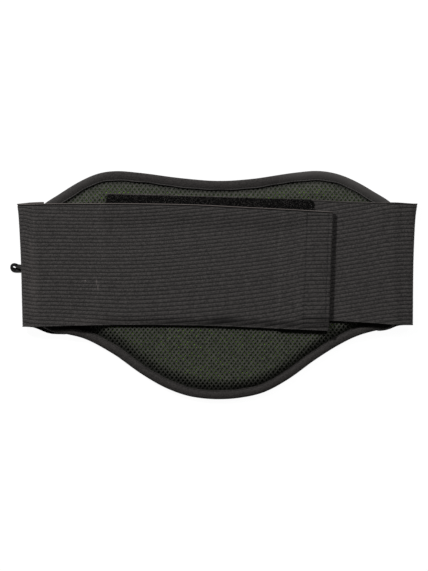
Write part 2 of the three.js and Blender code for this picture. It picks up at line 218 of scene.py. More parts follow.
def walked(points):
    """How far along a line each of its points is."""
    lengths = [0]
    for before, after in zip(points, points[1:]):
        lengths.append(lengths[-1] + (after - before).length)
    return lengths


def spaced(points, count):
    """count + 1 points at even distances along a line through the points."""
    lengths = walked(points)
    result, at = [], 1
    for step in range(count + 1):
        want = lengths[-1] * step / count
        while at < len(points) - 1 and lengths[at] < want:
            at += 1
        span = max(lengths[at] - lengths[at - 1], 1e-9)
        result.append(points[at - 1].lerp(points[at], (want - lengths[at - 1]) / span))
    return result


# The panel's outline, with the way in from each point of it

def draw_outline():
    corners = [Vector((x, y, 0)) for x, y in OUTLINE]
    dense = spline(corners, True, 24)
    points = spaced([*dense, dense[0]], OUTLINE_SIDES)[:-1]
    sides = []
    for at, point in enumerate(points):
        along = points[(at + 1) % OUTLINE_SIDES] - points[at - 1]
        sides.append((point, Vector((-along.y, along.x, 0)).normalized()))
    return sides


OUTLINE_POINTS = draw_outline()
OUTLINE_TREE = KDTree(len(OUTLINE_POINTS))
for number, (edge_point, _) in enumerate(OUTLINE_POINTS):
    OUTLINE_TREE.insert(edge_point, number)
OUTLINE_TREE.balance()


def depth_in(place):
    """How far in from the outline a place is, and the way in there."""
    flat = Vector((place.x, place.y, 0))
    point, number, _ = OUTLINE_TREE.find(flat)
    inward = OUTLINE_POINTS[number][1]
    away = flat - point
    depth = away.length if away.dot(inward) > 0 else -away.length
    return depth, inward


# Making meshes

def sheet(columns, rows, place):
    """A grid whose corners go where place says, given their shares along and across."""
    bm = bmesh.new()
    bmesh.ops.create_grid(bm, x_segments=columns, y_segments=rows, size=0.5)
    for corner in bm.verts:
        corner.co = place(corner.co.x + 0.5, corner.co.y + 0.5)
    bm.normal_update()
    return bm


def grid_shares(columns, rows):
    """The shares along and across of each corner of a sheet, in the order of its corners."""
    return [(column / columns, row / rows) for row in range(rows + 1) for column in range(columns + 1)]


def thicken(bm, thickness):
    """Gives a sheet its thickness, half to each side."""
    bm.normal_update()
    shifts = [corner.normal * (thickness / 2) for corner in bm.verts]
    for corner, shift in zip(bm.verts, shifts):
        corner.co += shift
    bmesh.ops.solidify(bm, geom=bm.faces[:], thickness=thickness)
    bm.normal_update()


def finish_piece(bm, name, material, nodes=()):
    """Makes the mesh an object in metres that rides on the belt's one body."""
    bmesh.ops.scale(bm, vec=(MM, MM, MM), verts=bm.verts)
    mesh = bpy.data.meshes.new(name)
    for face in bm.faces:
        face.smooth = True
    bm.to_mesh(mesh)
    bm.free()
    piece = bpy.data.objects.new(name, mesh)
    bpy.context.scene.collection.objects.link(piece)
    mesh.materials.append(material)
    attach(piece, "root")
    if nodes:
        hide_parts(*nodes)
    return piece


def repeat(template, places):
    """One mesh with a copy of the template at each place."""
    bm = bmesh.new()
    for place in places:
        copy = template.copy()
        copy.transform(place)
        bm.from_mesh(copy)
        bpy.data.meshes.remove(copy)
    return bm


def frame_at(origin, along, up):
    """The matrix that puts X along a direction and Z as near to up as it goes."""
    x = along.normalized()
    y = up.cross(x).normalized()
    z = x.cross(y)
    turn = Matrix((x, y, z)).transposed().to_4x4()
    return Matrix.Translation(origin) @ turn


# Node helpers

def new_material(name, **values):
    material = bpy.data.materials.new(name)
    material.use_nodes = True
    shader = material.node_tree.nodes["Principled BSDF"]
    for socket, value in values.items():
        shader.inputs[socket.replace("_", " ")].default_value = value
    return material, material.node_tree, shader


def node(tree, kind, **inputs):
    made = tree.nodes.new(kind)
    for socket, value in inputs.items():
        made.inputs[socket.replace("_", " ")].default_value = value
    return made


def painted(tree, name):
    """The value that a piece carries at each place, in its attribute of that name."""
    made = tree.nodes.new("ShaderNodeAttribute")
    made.attribute_name = name
    return made.outputs["Fac"]


def math_node(tree, operation, first, second):
    made = tree.nodes.new("ShaderNodeMath")
    made.operation = operation
    for socket, value in zip(made.inputs, (first, second)):
        if isinstance(value, (int, float)):
            socket.default_value = value
        else:
            tree.links.new(value, socket)
    return made.outputs[0]


def mix_colours(tree, share, first, second):
    made = tree.nodes.new("ShaderNodeMix")
    made.data_type = "RGBA"
    for name, value in (("A", first), ("B", second)):
        socket = next(s for s in made.inputs if s.name == name and s.type == "RGBA")
        if isinstance(value, tuple):
            socket.default_value = (*value, 1)
        else:
            tree.links.new(value, socket)
    tree.links.new(share, made.inputs["Factor"])
    return next(s for s in made.outputs if s.type == "RGBA")


def cloth_grain():
    """A group that gives the uneven tone of single stitches and the height of threads."""
    group = bpy.data.node_groups.new("cloth_grain", "ShaderNodeTree")
    group.interface.new_socket(name="Vector", in_out="INPUT", socket_type="NodeSocketVector")
    scale = group.interface.new_socket(name="Scale", in_out="INPUT", socket_type="NodeSocketFloat")
    scale.default_value = 600
    group.interface.new_socket(name="Tone", in_out="OUTPUT", socket_type="NodeSocketFloat")
    group.interface.new_socket(name="Height", in_out="OUTPUT", socket_type="NodeSocketFloat")
    inside = group.nodes.new("NodeGroupInput")
    outside = group.nodes.new("NodeGroupOutput")
    fine = node(group, "ShaderNodeTexNoise", Detail=3, Roughness=0.7)
    broad = node(group, "ShaderNodeTexNoise", Detail=2)
    broad_scale = math_node(group, "MULTIPLY", inside.outputs["Scale"], 0.08)
    stitch = group.nodes.new("ShaderNodeTexVoronoi")
    for texture, size in (
        (fine, inside.outputs["Scale"]), (broad, broad_scale), (stitch, inside.outputs["Scale"]),
    ):
        group.links.new(inside.outputs["Vector"], texture.inputs["Vector"])
        group.links.new(size, texture.inputs["Scale"])
    parts = group.nodes.new("ShaderNodeSeparateXYZ")
    group.links.new(stitch.outputs["Color"], parts.inputs["Vector"])
    tone = math_node(group, "MULTIPLY", parts.outputs["X"], 0.45)
    for part, share in ((fine.outputs["Fac"], 0.4), (broad.outputs["Fac"], 0.15)):
        tone = math_node(group, "ADD", tone, math_node(group, "MULTIPLY", part, share))
    group.links.new(tone, outside.inputs["Tone"])
    group.links.new(fine.outputs["Fac"], outside.inputs["Height"])
    return group


GRAIN = cloth_grain()


def add_grain(tree, scale, vector=None):
    grain = tree.nodes.new("ShaderNodeGroup")
    grain.node_tree = GRAIN
    grain.inputs["Scale"].default_value = scale
    if vector is None:
        vector = tree.nodes.new("ShaderNodeTexCoord").outputs["Object"]
    tree.links.new(vector, grain.inputs["Vector"])
    return grain


def add_bump(tree, shader, height, strength, distance):
    bump = node(tree, "ShaderNodeBump", Strength=strength, Distance=distance)
    tree.links.new(height, bump.inputs["Height"])
    tree.links.new(bump.outputs["Normal"], shader.inputs["Normal"])


def tone_range(tree, value, low, high):
    """Turns the middle of a noise's range into 0 to 1."""
    made = node(tree, "ShaderNodeMapRange", From_Min=low, From_Max=high)
    tree.links.new(value, made.inputs["Value"])
    return made.outputs["Result"]


# Materials

# Where the bands' upper face is paler, with lint and specks and with painted light on the folds and the
# lower margin, and where painted shade darkens it along the lower margin and by the tab, as (x, y, half
# width, half height, strength)
RUBBED_AND_LIT_MARKS = [
    (-190.5, 41.5, 1.8, 2.4, 0.5), (-190, 34, 5, 26, 0.14), (-189, -6, 11, 50, 0.13),
    (-187, 62, 3, 18, 0.06), (-122.9, 3, 0.9, 4.5, 0.55), (-121.4, -2.5, 1, 4.5, 0.5),
    (-134.4, 4.4, 1.1, 1.1, 1), (-122, -37, 55, 6, 0.07), (203, 20, 10, 75, 0.16),
]
# painted shade: darker patches along the lower margin and by the tab
SHADE_PATCHES = [
    (8, -36.3, 28, 8, 0.8), (-30, -39.5, 58, 3.8, 0.55), (62, -39, 44, 5, 0.4), (110, -33, 13, 14, 0.45),
    (108, 20, 16, 60, 0.1),
]
UPPER_FACE = 14  # height round which those marks lie
MARK_REACH = 7  # and how far above and below it they reach

RIDGE_DARK = (0.008, 0.0075, 0.0073)
RIDGE_LIGHT = (0.071, 0.0652, 0.0629)
# painted shade: the rib grooves are coloured darker
GROOVE_SHADE_COLOUR = (0.009, 0.0085, 0.0082)
# painted shade in the ditches beside the bands' edges and in the tab's stitch trenches
TRENCH_SHADE_COLOUR = (0.003, 0.0028, 0.0027)
# for lint, specks, painted light on the folds and the painted edge highlight
PALE_MARK_AND_HIGHLIGHT_COLOUR = (0.17, 0.147, 0.138)
# the colour of the painted shade patches
SHADE_PATCH_COLOUR = (0.006, 0.0055, 0.0053)


def marks(tree, places):
    """The share of a mark at each place of the bands' upper face."""
    where = tree.nodes.new("ShaderNodeTexCoord").outputs["Object"]
    total = None
    for x, y, wide, high, strength in places:
        scaled = tree.nodes.new("ShaderNodeMapping")
        scaled.vector_type = "TEXTURE"
        scaled.inputs["Location"].default_value = Vector((x, y, UPPER_FACE)) * MM
        scaled.inputs["Scale"].default_value = Vector((wide, high, MARK_REACH)) * MM
        tree.links.new(where, scaled.inputs["Vector"])
        away = tree.nodes.new("ShaderNodeVectorMath")
        away.operation = "LENGTH"
        tree.links.new(scaled.outputs["Vector"], away.inputs[0])
        mask = node(tree, "ShaderNodeMapRange", From_Min=1, From_Max=0, To_Max=strength)
        mask.interpolation_type = "SMOOTHSTEP"
        tree.links.new(away.outputs["Value"], mask.inputs["Value"])
        mask = mask.outputs["Result"]
        total = mask if total is None else math_node(tree, "ADD", total, mask)
    return math_node(tree, "MINIMUM", total, 1)


def elastic_material():
    """Ribbed elastic: knitted ribs whose grooves are painted darker as shade, with painted shade in the
    ditches and stitch trenches and a painted highlight along the edges.
    """
    material, tree, shader = new_material("ribbed_elastic", Roughness=0.88, Specular_IOR_Level=0.25)
    weave = tree.nodes.new("ShaderNodeUVMap")
    weave.uv_map = "weave"
    parts = tree.nodes.new("ShaderNodeSeparateXYZ")
    tree.links.new(weave.outputs["UV"], parts.inputs["Vector"])
    from_groove = math_node(tree, "PINGPONG", parts.outputs["Y"], 0.5)
    # painted shade along the middle of each rib groove
    groove_shade = tone_range(tree, from_groove, 0.18, 0.02)
    stretch = node(tree, "ShaderNodeMapping", Scale=(1, 3.6, 1))
    tree.links.new(weave.outputs["UV"], stretch.inputs["Vector"])
    grain = add_grain(tree, 1.1, stretch.outputs["Vector"])
    speckle = tone_range(tree, grain.outputs["Tone"], 0.12, 0.88)
    ridge = mix_colours(tree, speckle, RIDGE_DARK, RIDGE_LIGHT)
    ribbed = mix_colours(tree, groove_shade, ridge, GROOVE_SHADE_COLOUR)
    # painted shade from the seam attribute: the ditches and the stitch trenches
    sewn = mix_colours(tree, painted(tree, "seam"), ribbed, TRENCH_SHADE_COLOUR)
    # painted highlight along the bands' edges
    lit_edge = mix_colours(tree, painted(tree, "edge"), sewn, PALE_MARK_AND_HIGHLIGHT_COLOUR)
    # lint and specks, and painted light on the folds and the lower margin
    rubbed_and_lit = mix_colours(tree, marks(tree, RUBBED_AND_LIT_MARKS), lit_edge, PALE_MARK_AND_HIGHLIGHT_COLOUR)
    # painted shade patches along the lower margin and by the tab
    shade_patched = mix_colours(tree, marks(tree, SHADE_PATCHES), rubbed_and_lit, SHADE_PATCH_COLOUR)
    tree.links.new(shade_patched, shader.inputs["Base Color"])
    add_bump(tree, shader, grain.outputs["Height"], 0.5, 0.0004)
    return material


STRAND_DARK = (0.009, 0.0092, 0.0078)
STRAND_LIGHT = (0.082, 0.0818, 0.0705)
HOLE_COLOUR = (0.013, 0.022, 0.0055)
GREEN_LAYER = (0.135, 0.255, 0.03)
# painted shade on the lining next to the binding
MARGIN_SHADE_COLOUR = (0.005, 0.005, 0.0045)


def lining_material():
    """Padded net lining: grey strands round holes that show the green layer beneath, and painted shade
    next to the binding.
    """
    material, tree, shader = new_material("lining_mesh", Roughness=0.85, Specular_IOR_Level=0.2)
    grain = add_grain(tree, 900)
    speckle = tone_range(tree, grain.outputs["Tone"], 0.15, 0.85)
    strand = mix_colours(tree, speckle, STRAND_DARK, STRAND_LIGHT)
    inside = tone_range(tree, painted(tree, "hole"), 0.15, 0.7)
    pit = mix_colours(tree, inside, strand, HOLE_COLOUR)
    fleck = tone_range(tree, painted(tree, "green"), 0.12, 0.7)
    flecked = mix_colours(tree, fleck, pit, GREEN_LAYER)
    # painted shade next to the binding
    shaded = mix_colours(tree, painted(tree, "shade"), flecked, MARGIN_SHADE_COLOUR)
    tree.links.new(shaded, shader.inputs["Base Color"])
    add_bump(tree, shader, grain.outputs["Height"], 0.4, 0.0003)
    return material


def plain_cloth(name, dark, light, scale, roughness, weave=0, gloss=0.25, mark=None):
    """A plain cloth with uneven threads.

    A weave above 0 adds crossing threads of that many to the metre. A mark is the name
    of an attribute and the colour that the cloth takes where that attribute is 1.
    """
    material, tree, shader = new_material(name, Roughness=roughness, Specular_IOR_Level=gloss)
    grain = add_grain(tree, scale)
    speckle = tone_range(tree, grain.outputs["Tone"], 0.3, 0.7)
    height = grain.outputs["Height"]
    if weave:
        place = tree.nodes.new("ShaderNodeTexCoord").outputs["Object"]
        threads = []
        for direction in ("X", "Y"):
            wave = node(tree, "ShaderNodeTexWave", Scale=weave / 20, Distortion=0.4)
            wave.bands_direction = direction
            tree.links.new(place, wave.inputs["Vector"])
            threads.append(wave.outputs["Fac"])
        crossed = math_node(tree, "MULTIPLY", threads[0], threads[1])
        height = math_node(tree, "ADD", height, crossed)
        speckle = math_node(tree, "MULTIPLY", speckle, math_node(tree, "ADD", crossed, 0.6))
    colour = mix_colours(tree, speckle, dark, light)
    if mark:
        colour = mix_colours(tree, painted(tree, mark[0]), colour, mark[1])
    tree.links.new(colour, shader.inputs["Base Color"])
    add_bump(tree, shader, height, 0.4, 0.0003)
    return material


ELASTIC = elastic_material()
LINING = lining_material()
BINDING = plain_cloth(
    "binding_tape", (0.0125, 0.0112, 0.0107), (0.0367, 0.0329, 0.031), scale=1350, roughness=0.8,
    # pale where the edge attribute marks the painted lip highlight and the paler stretches of the upper
    # rim
    mark=("edge", (0.055, 0.052, 0.05)),
)
SHELL = plain_cloth(
    "shell_cloth", (0.016, 0.016, 0.016), (0.04, 0.039, 0.038), scale=1200, roughness=0.85, weave=1400,
)
THREAD = plain_cloth(
    "sewing_thread", (0.01, 0.01, 0.01), (0.022, 0.021, 0.021), scale=3000, roughness=0.7,
)
PILE = plain_cloth(
    "looped_pile", (0.001, 0.001, 0.001), (0.007, 0.0066, 0.0064), scale=800, roughness=0.95,
    gloss=0.08, mark=("pale", (0.13, 0.12, 0.115)),
)
HOOKS = plain_cloth(
    "hook_tape", (0.006, 0.006, 0.006), (0.015, 0.015, 0.015), scale=900, roughness=0.6, weave=700,
)
NARROW = plain_cloth(
    "narrow_tape", (0.026, 0.025, 0.024), (0.058, 0.056, 0.054), scale=1800, roughness=0.8,
    # dark on the selvedges, and painted shade where the tape stands on edge
    weave=1800, gloss=0.08, mark=("edge", (0.002, 0.002, 0.002)),
)


# The panel's cloth and foam

def panel_grid(columns, rows, place, depth):
    """A flat grid cut to the panel's outline drawn in by depth, its edge moved onto that line."""
    bm = sheet(columns, rows, place)
    outside = [face for face in bm.faces if depth_in(face.calc_center_median())[0] < depth + 0.6]
    bmesh.ops.delete(bm, geom=outside, context="FACES")
    for corner in bm.verts:
        if corner.is_boundary:
            here, inward = depth_in(corner.co)
            corner.co += inward * (depth - here)
    bmesh.ops.dissolve_degenerate(bm, dist=0.05, edges=bm.edges[:])
    bm.normal_update()
    return bm


def upper_half(y):
    """0 on the panel's lower half and 1 on its upper half."""
    return climb(y, -10, 50)


def swell(place, depth):
    """How far the padding has swollen from the binding to its full height, from 0 to 1."""
    upper = upper_half(place.y)
    start, span = mix(8.6, 12.4, upper), mix(mix(10, 15, climb(-place.x, -60, 40)), 13, upper)
    share = min(max((depth - start) / span, 0), 1)
    return math.sin(share * math.pi / 2) ** mix(1, 1.5, upper)


def foam_underside(place, depth):
    raised = rim_rise(place.x) * (1 - climb(depth, 34, 60))
    return (TAPE_THICK + GAP) * (1 - climb(depth, 9.8, 13)) + raised


def foam_top(place, depth):
    squeezed = TAPE_THICK + GAP + FLANGE_THICK + rim_rise(place.x)
    return mix(squeezed, PAD_THICK - LINING_THICK - GAP, swell(place, depth))


def lining_top(place, depth):
    squeezed = TAPE_THICK + 2 * GAP + 2 * FLANGE_THICK + rim_rise(place.x)
    return mix(squeezed, PAD_THICK, swell(place, depth))


def two_faces(bm, lower, upper):
    """Closes a flat sheet into a pad whose faces lie at the heights that lower and upper give."""
    bmesh.ops.reverse_faces(bm, faces=bm.faces[:])
    under = bm.verts[:]
    bmesh.ops.solidify(bm, geom=bm.faces[:], thickness=1)
    known = set(under)
    for corner in bm.verts:
        level = lower if corner in known else upper
        corner.co.z = level(corner.co, depth_in(corner.co)[0])
    bmesh.ops.recalc_face_normals(bm, faces=bm.faces[:])


SHELL_COLUMNS, SHELL_ROWS = 99, 61
SHELL_CELL = 4


def make_back_shell():
    """The foam and the woven outer cloth, one closed pad."""
    def place(along, across):
        column, row = (along - 0.5) * SHELL_COLUMNS, (across - 0.5) * SHELL_ROWS
        return Vector((column * SHELL_CELL, row * SHELL_CELL, 0))

    bm = panel_grid(SHELL_COLUMNS, SHELL_ROWS, place, TAPE_THICK + GAP)
    two_faces(bm, foam_underside, foam_top)
    return finish_piece(bm, "back_shell", SHELL, ["back_pad"])


CELL = Vector((2.26, 2.9, 0))  # half the width and half the height of one diamond of the net
LATTICE = 132
STRAND = 0.59  # half the width of a strand of the net
LINING_INSET = 0.8  # how much further in the lining ends than the foam does

# Where holes begin, in from the panel's edge, and how deep they are: at the foot of
# the padding and on it
FOOT_FROM, FOOT_DEEP = 7.5, 0.4
SUNK_FROM, SUNK_DEEP = 10.5, 0.85


def lining_shade(place):
    """The painted shade on the lining: dark next to the binding, widest on the lower left, and a little
    darker over the upper half.
    """
    upper = upper_half(place.y)
    left = climb(-place.x, -60, 60)
    from_lip = depth_in(place)[0] - BINDING_WIDTH * lap(place.y)
    return 0.7 * hump(from_lip, mix(mix(1.6, 5.5, left), 2.6, upper)) + 0.08 * upper


def make_lining():
    """The net lining: a padded sheet whose top is a lattice of strands round small holes."""
    def place(along, across):
        column, row = (along - 0.5) * LATTICE, (across - 0.5) * LATTICE
        return Vector(((column - row) * CELL.x, (column + row) * CELL.y, 0))

    def underside(spot, depth):
        return foam_top(spot, depth) + GAP

    bm = panel_grid(LATTICE, LATTICE, place, TAPE_THICK + GAP + LINING_INSET)
    two_faces(bm, underside, lining_top)
    foot, sunk = [], []
    for face in bm.faces:
        if len(face.verts) == 4 and face.normal.z > 0.3:
            depth = depth_in(face.calc_center_median())[0]
            if depth > SUNK_FROM:
                sunk.append(face)
            elif depth > FOOT_FROM:
                foot.append(face)
    hole = bm.verts.layers.float.new("hole")
    green = bm.verts.layers.float.new("green")
    for cells, depth in ((foot, FOOT_DEEP), (sunk, SUNK_DEEP)):
        pierce(bm, cells, depth, hole, green)
    shade = bm.verts.layers.float.new("shade")
    for corner in bm.verts:
        corner[shade] = lining_shade(corner.co)
    return finish_piece(bm, "net_lining", LINING, ["mesh_lining"])


def pierce(bm, cells, depth, hole, green):
    """Sinks a rounded hole into each cell and marks it, with how green it is."""
    bmesh.ops.inset_individual(bm, faces=cells, thickness=STRAND, depth=-0.1, use_even_offset=True)
    bmesh.ops.inset_individual(bm, faces=cells, thickness=0.42, depth=-depth, use_even_offset=True)
    rims = list({edge for face in cells for edge in face.edges})
    bmesh.ops.subdivide_edges(bm, edges=rims, cuts=1)
    for face in cells:
        centre = face.calc_center_median()
        reach = max((corner.co - centre).length for corner in face.verts)
        for corner in face.verts:
            away = corner.co - centre
            corner[hole] = 1
            corner.co = centre + away * mix(1, reach * 0.86 / max(away.length, 0.01), 0.6)
    for middle in bmesh.ops.poke(bm, faces=cells)["verts"]:
        strong = noise.noise(middle.co / 34) * 0.5 + 0.5
        fades = mix(1, 0.7, climb(middle.co.x, 20, 120)) * climb(depth_in(middle.co)[0], 12, 23)
        middle[hole] = 1
        middle[green] = mix(0.15, 1, LOOSE.random() ** 1.5) * mix(0.6, 1.3, strong) * fades
        middle.co.x += LOOSE.uniform(-0.35, 0.35)
        middle.co.y += LOOSE.uniform(-0.35, 0.35)


BINDING_STEPS = 44
STITCH_INSET = 8.3  # how far in from the panel's edge the binding is sewn down


def open_rim(x, y):
    """1 where the panel's rim shows, falling to 0 where the bands are folded over it."""
    return max(1 - climb(abs(x), 158, 172), climb(y, 87, 94), climb(-y, 46, 52))


def lap(y):
    """How far the binding laps onto the lining, as a share of its width: less on the lower rim."""
    return mix(0.93, 1, climb(y, -50, 40))


def binding_lip_highlight_and_paleness(place):
    """How pale the tape is on the upper rim: a painted highlight along its inner lip, and paler
    stretches towards the right hump and the left end.
    """
    lip = depth_in(place)[0] - BINDING_WIDTH * lap(place.y) + 0.3
    pale_stretch = 0.75 * climb(place.x, 50, 92) + 0.35 * climb(-place.x, 105, 140)
    pale_stretch *= 1 - 0.5 * hump(lip + 3, 2.4)
    # painted highlight on the lip, and everything only on the upper rim
    return max(0.8 * hump(lip, 0.5), pale_stretch) * climb(place.y, 20, 70)


def make_binding():
    """The binding tape, rolled round the panel's edge and sewn down near its inner edge."""
    nose = BINDING_HEIGHT / 2
    low, high = TAPE_THICK / 2, BINDING_HEIGHT - TAPE_THICK / 2
    corners = [
        (BINDING_WIDTH, low), (7.6, low + 0.05), (5, low - 0.05), (2.6, low), (1.1, low + 0.7),
        (TAPE_THICK / 2, nose), (0.68, high - 0.7), (1.5, high - 0.05), (3.2, high + 0.15),
        (5.5, high + 0.15), (7.4, high), (8.6, high - 0.1), (BINDING_WIDTH, high - 0.15),
    ]
    profile = spaced(spline([Vector((*corner, 0)) for corner in corners], False, 8), BINDING_STEPS)

    def place(along, across):
        point, inward = OUTLINE_POINTS[round(along * OUTLINE_SIDES) % OUTLINE_SIDES]
        section = profile[round(across * BINDING_STEPS)]
        wander = 0.25 * math.sin(along * 97) + 0.2 * math.sin(along * 263)
        reach = lap(point.y) if section.y > nose else 1
        spot = point + inward * (section.x * reach + wander * section.x / BINDING_WIDTH)
        pucker = 0.1 * math.sin(along * OUTLINE_SIDES * math.tau / 3.3) * hump(section.x - 8, 2)
        bulge = 0
        if section.y > nose:
            bulge = 0.4 * hump(section.x - 4.4, 3) * open_rim(spot.x, spot.y)
            bulge -= 0.3 * hump(section.x - STITCH_INSET, 0.5)
        return spot + Vector((0, 0, section.y + pucker + bulge + rim_rise(spot.x)))

    bm = sheet(OUTLINE_SIDES, BINDING_STEPS, place)
    edge = bm.verts.layers.float.new("edge")
    for corner in bm.verts:
        corner[edge] = binding_lip_highlight_and_paleness(corner.co)
    bmesh.ops.remove_doubles(bm, verts=bm.verts, dist=0.001)
    bmesh.ops.recalc_face_normals(bm, faces=bm.faces[:])
    thicken(bm, TAPE_THICK)
    bmesh.ops.recalc_face_normals(bm, faces=bm.faces[:])
    piece = finish_piece(bm, "rolled_binding", BINDING, ["edge_binding"])
    return piece


# The elastic bands

def edge_place(rows, x, share):
    return mix(lookup(rows, x, 1), lookup(rows, x, 2), share)


def over_panel(side, x):
    """Where a front run's underside lies over the panel alone."""
    over_end = BINDING_HEIGHT + rim_rise(side * BEND_START) + GAP
    return mix(over_end, ON_PAD, climb(side * x, BEND_START, RAMP_FULL))


def left_underside(x, share):
    over_right = climb(x, *ONTO_BAND["x"])
    onto_band = LAYER * over_right * climb(share, *ONTO_BAND["share"])
    strip_share = over_right * climb(x, *ONTO_STRIP["x"])
    onto_strip = STRIP_RISE * strip_share * climb(share, *ONTO_STRIP["share"])
    onto_hook = HOOK_RISE * climb(x, *ONTO_HOOK["x"]) * climb(share, *ONTO_HOOK["share"])
    return over_panel(-1, x) + onto_band + max(onto_strip, onto_hook)


def ripple(x, y):
    """The low waves in the bands where they lie over the panel, none of them near the hook panel."""
    calm = climb(x, 56, 74) * (1 - climb(x, 124, 140))
    ends = 1 - climb(abs(x), 168, 184)
    wave = 0.5 + 0.5 * noise.noise(Vector((x / 70, y / 38, 3)))
    return 0.4 * wave * ends * (1 - calm)


def stations(*stops):
    """Places along a run. Each stop is a place and how many steps lead from it to the next."""
    places = []
    for (start, count), (end, _) in zip(stops, stops[1:]):
        places += [mix(start, end, step / count) for step in range(count)]
    return [*places, stops[-1][0]]


def front_place(band, x, share, underside):
    y = edge_place(band["front"], x, share)
    return Vector((x, y, underside + ripple(x, y) + BAND_THICK / 2))


def rear_run(band, share):
    sewn = lookup(band["lines"], share, SEWN_END)
    places = []
    for x in stations((sewn, 8), (band["side"] * BEND_START, 0))[:-1]:
        places.append(Vector((x, edge_place(band["rear"], x, share), BAND_THICK / 2 + loop_rise(x))))
    return places


FOLD_STEPS = 26
FOLD_POINT = 1.25  # 1 is an ellipse, and more is a fold that is pinched to an edge
REAR_STEPS = 8 + FOLD_STEPS // 2


def fold_run(band, share, front_level):
    side = band["side"]
    rear_level = BAND_THICK / 2 + loop_rise(side * BEND_START)
    reach = abs(lookup(band["lines"], share, FOLD)) - BAND_THICK / 2 - BEND_START
    places = []
    for step in range(FOLD_STEPS + 1):
        turned = step / FOLD_STEPS
        angle = math.pi * (turned - 0.5)
        x = side * (BEND_START + reach * abs(math.cos(angle)) ** FOLD_POINT)
        up = math.copysign(abs(math.sin(angle)) ** FOLD_POINT, math.sin(angle))
        y = mix(edge_place(band["rear"], x, share), edge_place(band["front"], x, share), turned)
        places.append(Vector((x, y, mix(rear_level, front_level, (up + 1) / 2))))
    return places


# The seams that hold the hook panel: their distances from the free end, then their
# heights from the band's lower edge
SEAM_NEAR = 26.6
SEAM_FAR = 4.3
SEAM_LOW = 6.8
SEAM_HIGH = 121


def left_front(share):
    """The left band's front run, round its free end and back under to the hem's edge."""
    hem, free = lookup(LEFT["lines"], share, HEM), lookup(LEFT["lines"], share, FREE_END)
    turn_x = free - BAND_THICK
    near, far = free - SEAM_NEAR, free - SEAM_FAR
    run = stations(
        (2 - BEND_START, 80), (hem - 6, 6), (hem + 2, 6), (near - 1.6, 4), (near + 1.6, 6),
        (far - 1.5, 4), (far + 1.1, 1), (turn_x, 0),
    )
    places = []
    for x in run:
        doubled = BAND_THICK * climb(x, hem - 3.5, hem + 1)
        places.append(front_place(LEFT, x, share, left_underside(x, share) + doubled))
    low = front_place(LEFT, turn_x, share, left_underside(turn_x, share))
    for step in range(1, 8):
        angle = math.pi * (0.5 - step / 8)
        around = Vector((math.cos(angle), 0, 1 + math.sin(angle))) * (BAND_THICK / 2)
        places.append(low + around)
    places.append(low)
    for x in stations((turn_x, 10), (hem, 0))[1:]:
        places.append(front_place(LEFT, x, share, left_underside(x, share)))
    return places


def right_front(share):
    free = lookup(RIGHT["lines"], share, FREE_END)
    run = stations((BEND_START - 2, 96), (free, 0))
    return [front_place(RIGHT, x, share, over_panel(1, x)) for x in run]


def rib_number(band, place, share, folded):
    """Counts the ribs from the band's middle. Round the fold and behind they run straight on."""
    x = lookup(band["lines"], share, FOLD) if folded else place.x
    above = edge_place(band["front"], x, share) - RIB_LEVEL
    number, pitch, narrows = (lookup(band["ribs"], x, column) for column in (1, 2, 3))
    return number + (above + narrows * above**2) / pitch


def tab_seam(place, share):
    """How near a place is to the seams that hold the hook panel under the left band's end, 0 to 1."""
    inward = lookup(LEFT["lines"], share, FREE_END) - place.x
    height = share * BAND_WIDTH
    if inward > SEAM_NEAR + 1.5 or inward < SEAM_FAR - 1.5:
        return 0
    if height < 2.4 or height > BAND_WIDTH - 3:
        return 0
    tight = mix(0.22, 0.9, climb(height, 106, 111))
    sides = tight * hump(inward - SEAM_NEAR, 0.5) + 0.35 * hump(inward - SEAM_FAR, 0.6)
    if SEAM_FAR < inward < SEAM_NEAR:
        sides += 0.4 * hump(height - SEAM_LOW, 0.6) + 0.4 * hump(height - SEAM_HIGH, 0.6)
    return min(sides, 1)


def band_runs(band, front_run):
    """The lines that a band is laid along, and the share of its width where each lies."""
    side = band["side"]
    front_level = over_panel(side, side * BEND_START) + BAND_THICK / 2
    heights = stations((0, 6), (1.8, 276), (BAND_WIDTH - 2.2, 11), (BAND_WIDTH, 0))
    shares = [height / BAND_WIDTH for height in heights]
    return shares, [rear_run(band, s) + fold_run(band, s, front_level) + front_run(s) for s in shares]


def edge_light_strength(side, share):
    """How strongly the nearer edge of a band carries painted highlight and painted shade, most on the
    left band's upper edge.
    """
    if share <= 0.5:
        return 0.15
    return 1 if side < 0 else 0.5


RIB_DEPTH = 0.36


def band_relief(side, place, faces_up, column, share, ribs):
    """How deep a place of a band lies, how much painted shade darkens a ditch or seam trench there and
    how much painted highlight an edge takes.
    """
    inwards = min(share, 1 - share) * BAND_WIDTH
    lit_edge = edge_light_strength(side, share)
    valley = hump(abs(ribs - round(ribs)), 0.17) * climb(inwards, 1.6, 2.4)
    valley *= 1 - 0.75 * hump(column - REAR_STEPS, 5)
    welt = hump(inwards - 0.4, 0.45)
    # painted shade in the ditch just inside the welt
    ditch = min(1.3 * hump(inwards - 1.6, 0.55), 1) * lit_edge
    depth = RIB_DEPTH * valley + 0.5 * ditch - 0.15 * welt
    # painted highlight on the welt of the nearer edge, and a faint paler line along the tab's free end
    pale = welt * max(lit_edge - 0.2, 0)
    sewn = 0
    if side < 0 and column > REAR_STEPS:
        from_end = lookup(LEFT["lines"], share, FREE_END) - place.x
        sewn = tab_seam(place, share) if faces_up else 0
        depth = depth * climb(from_end, 0.2, 2.2) + 0.35 * sewn
        pale = max(pale, 0.15 * hump(from_end, 1))
    return depth, max(sewn, ditch), pale


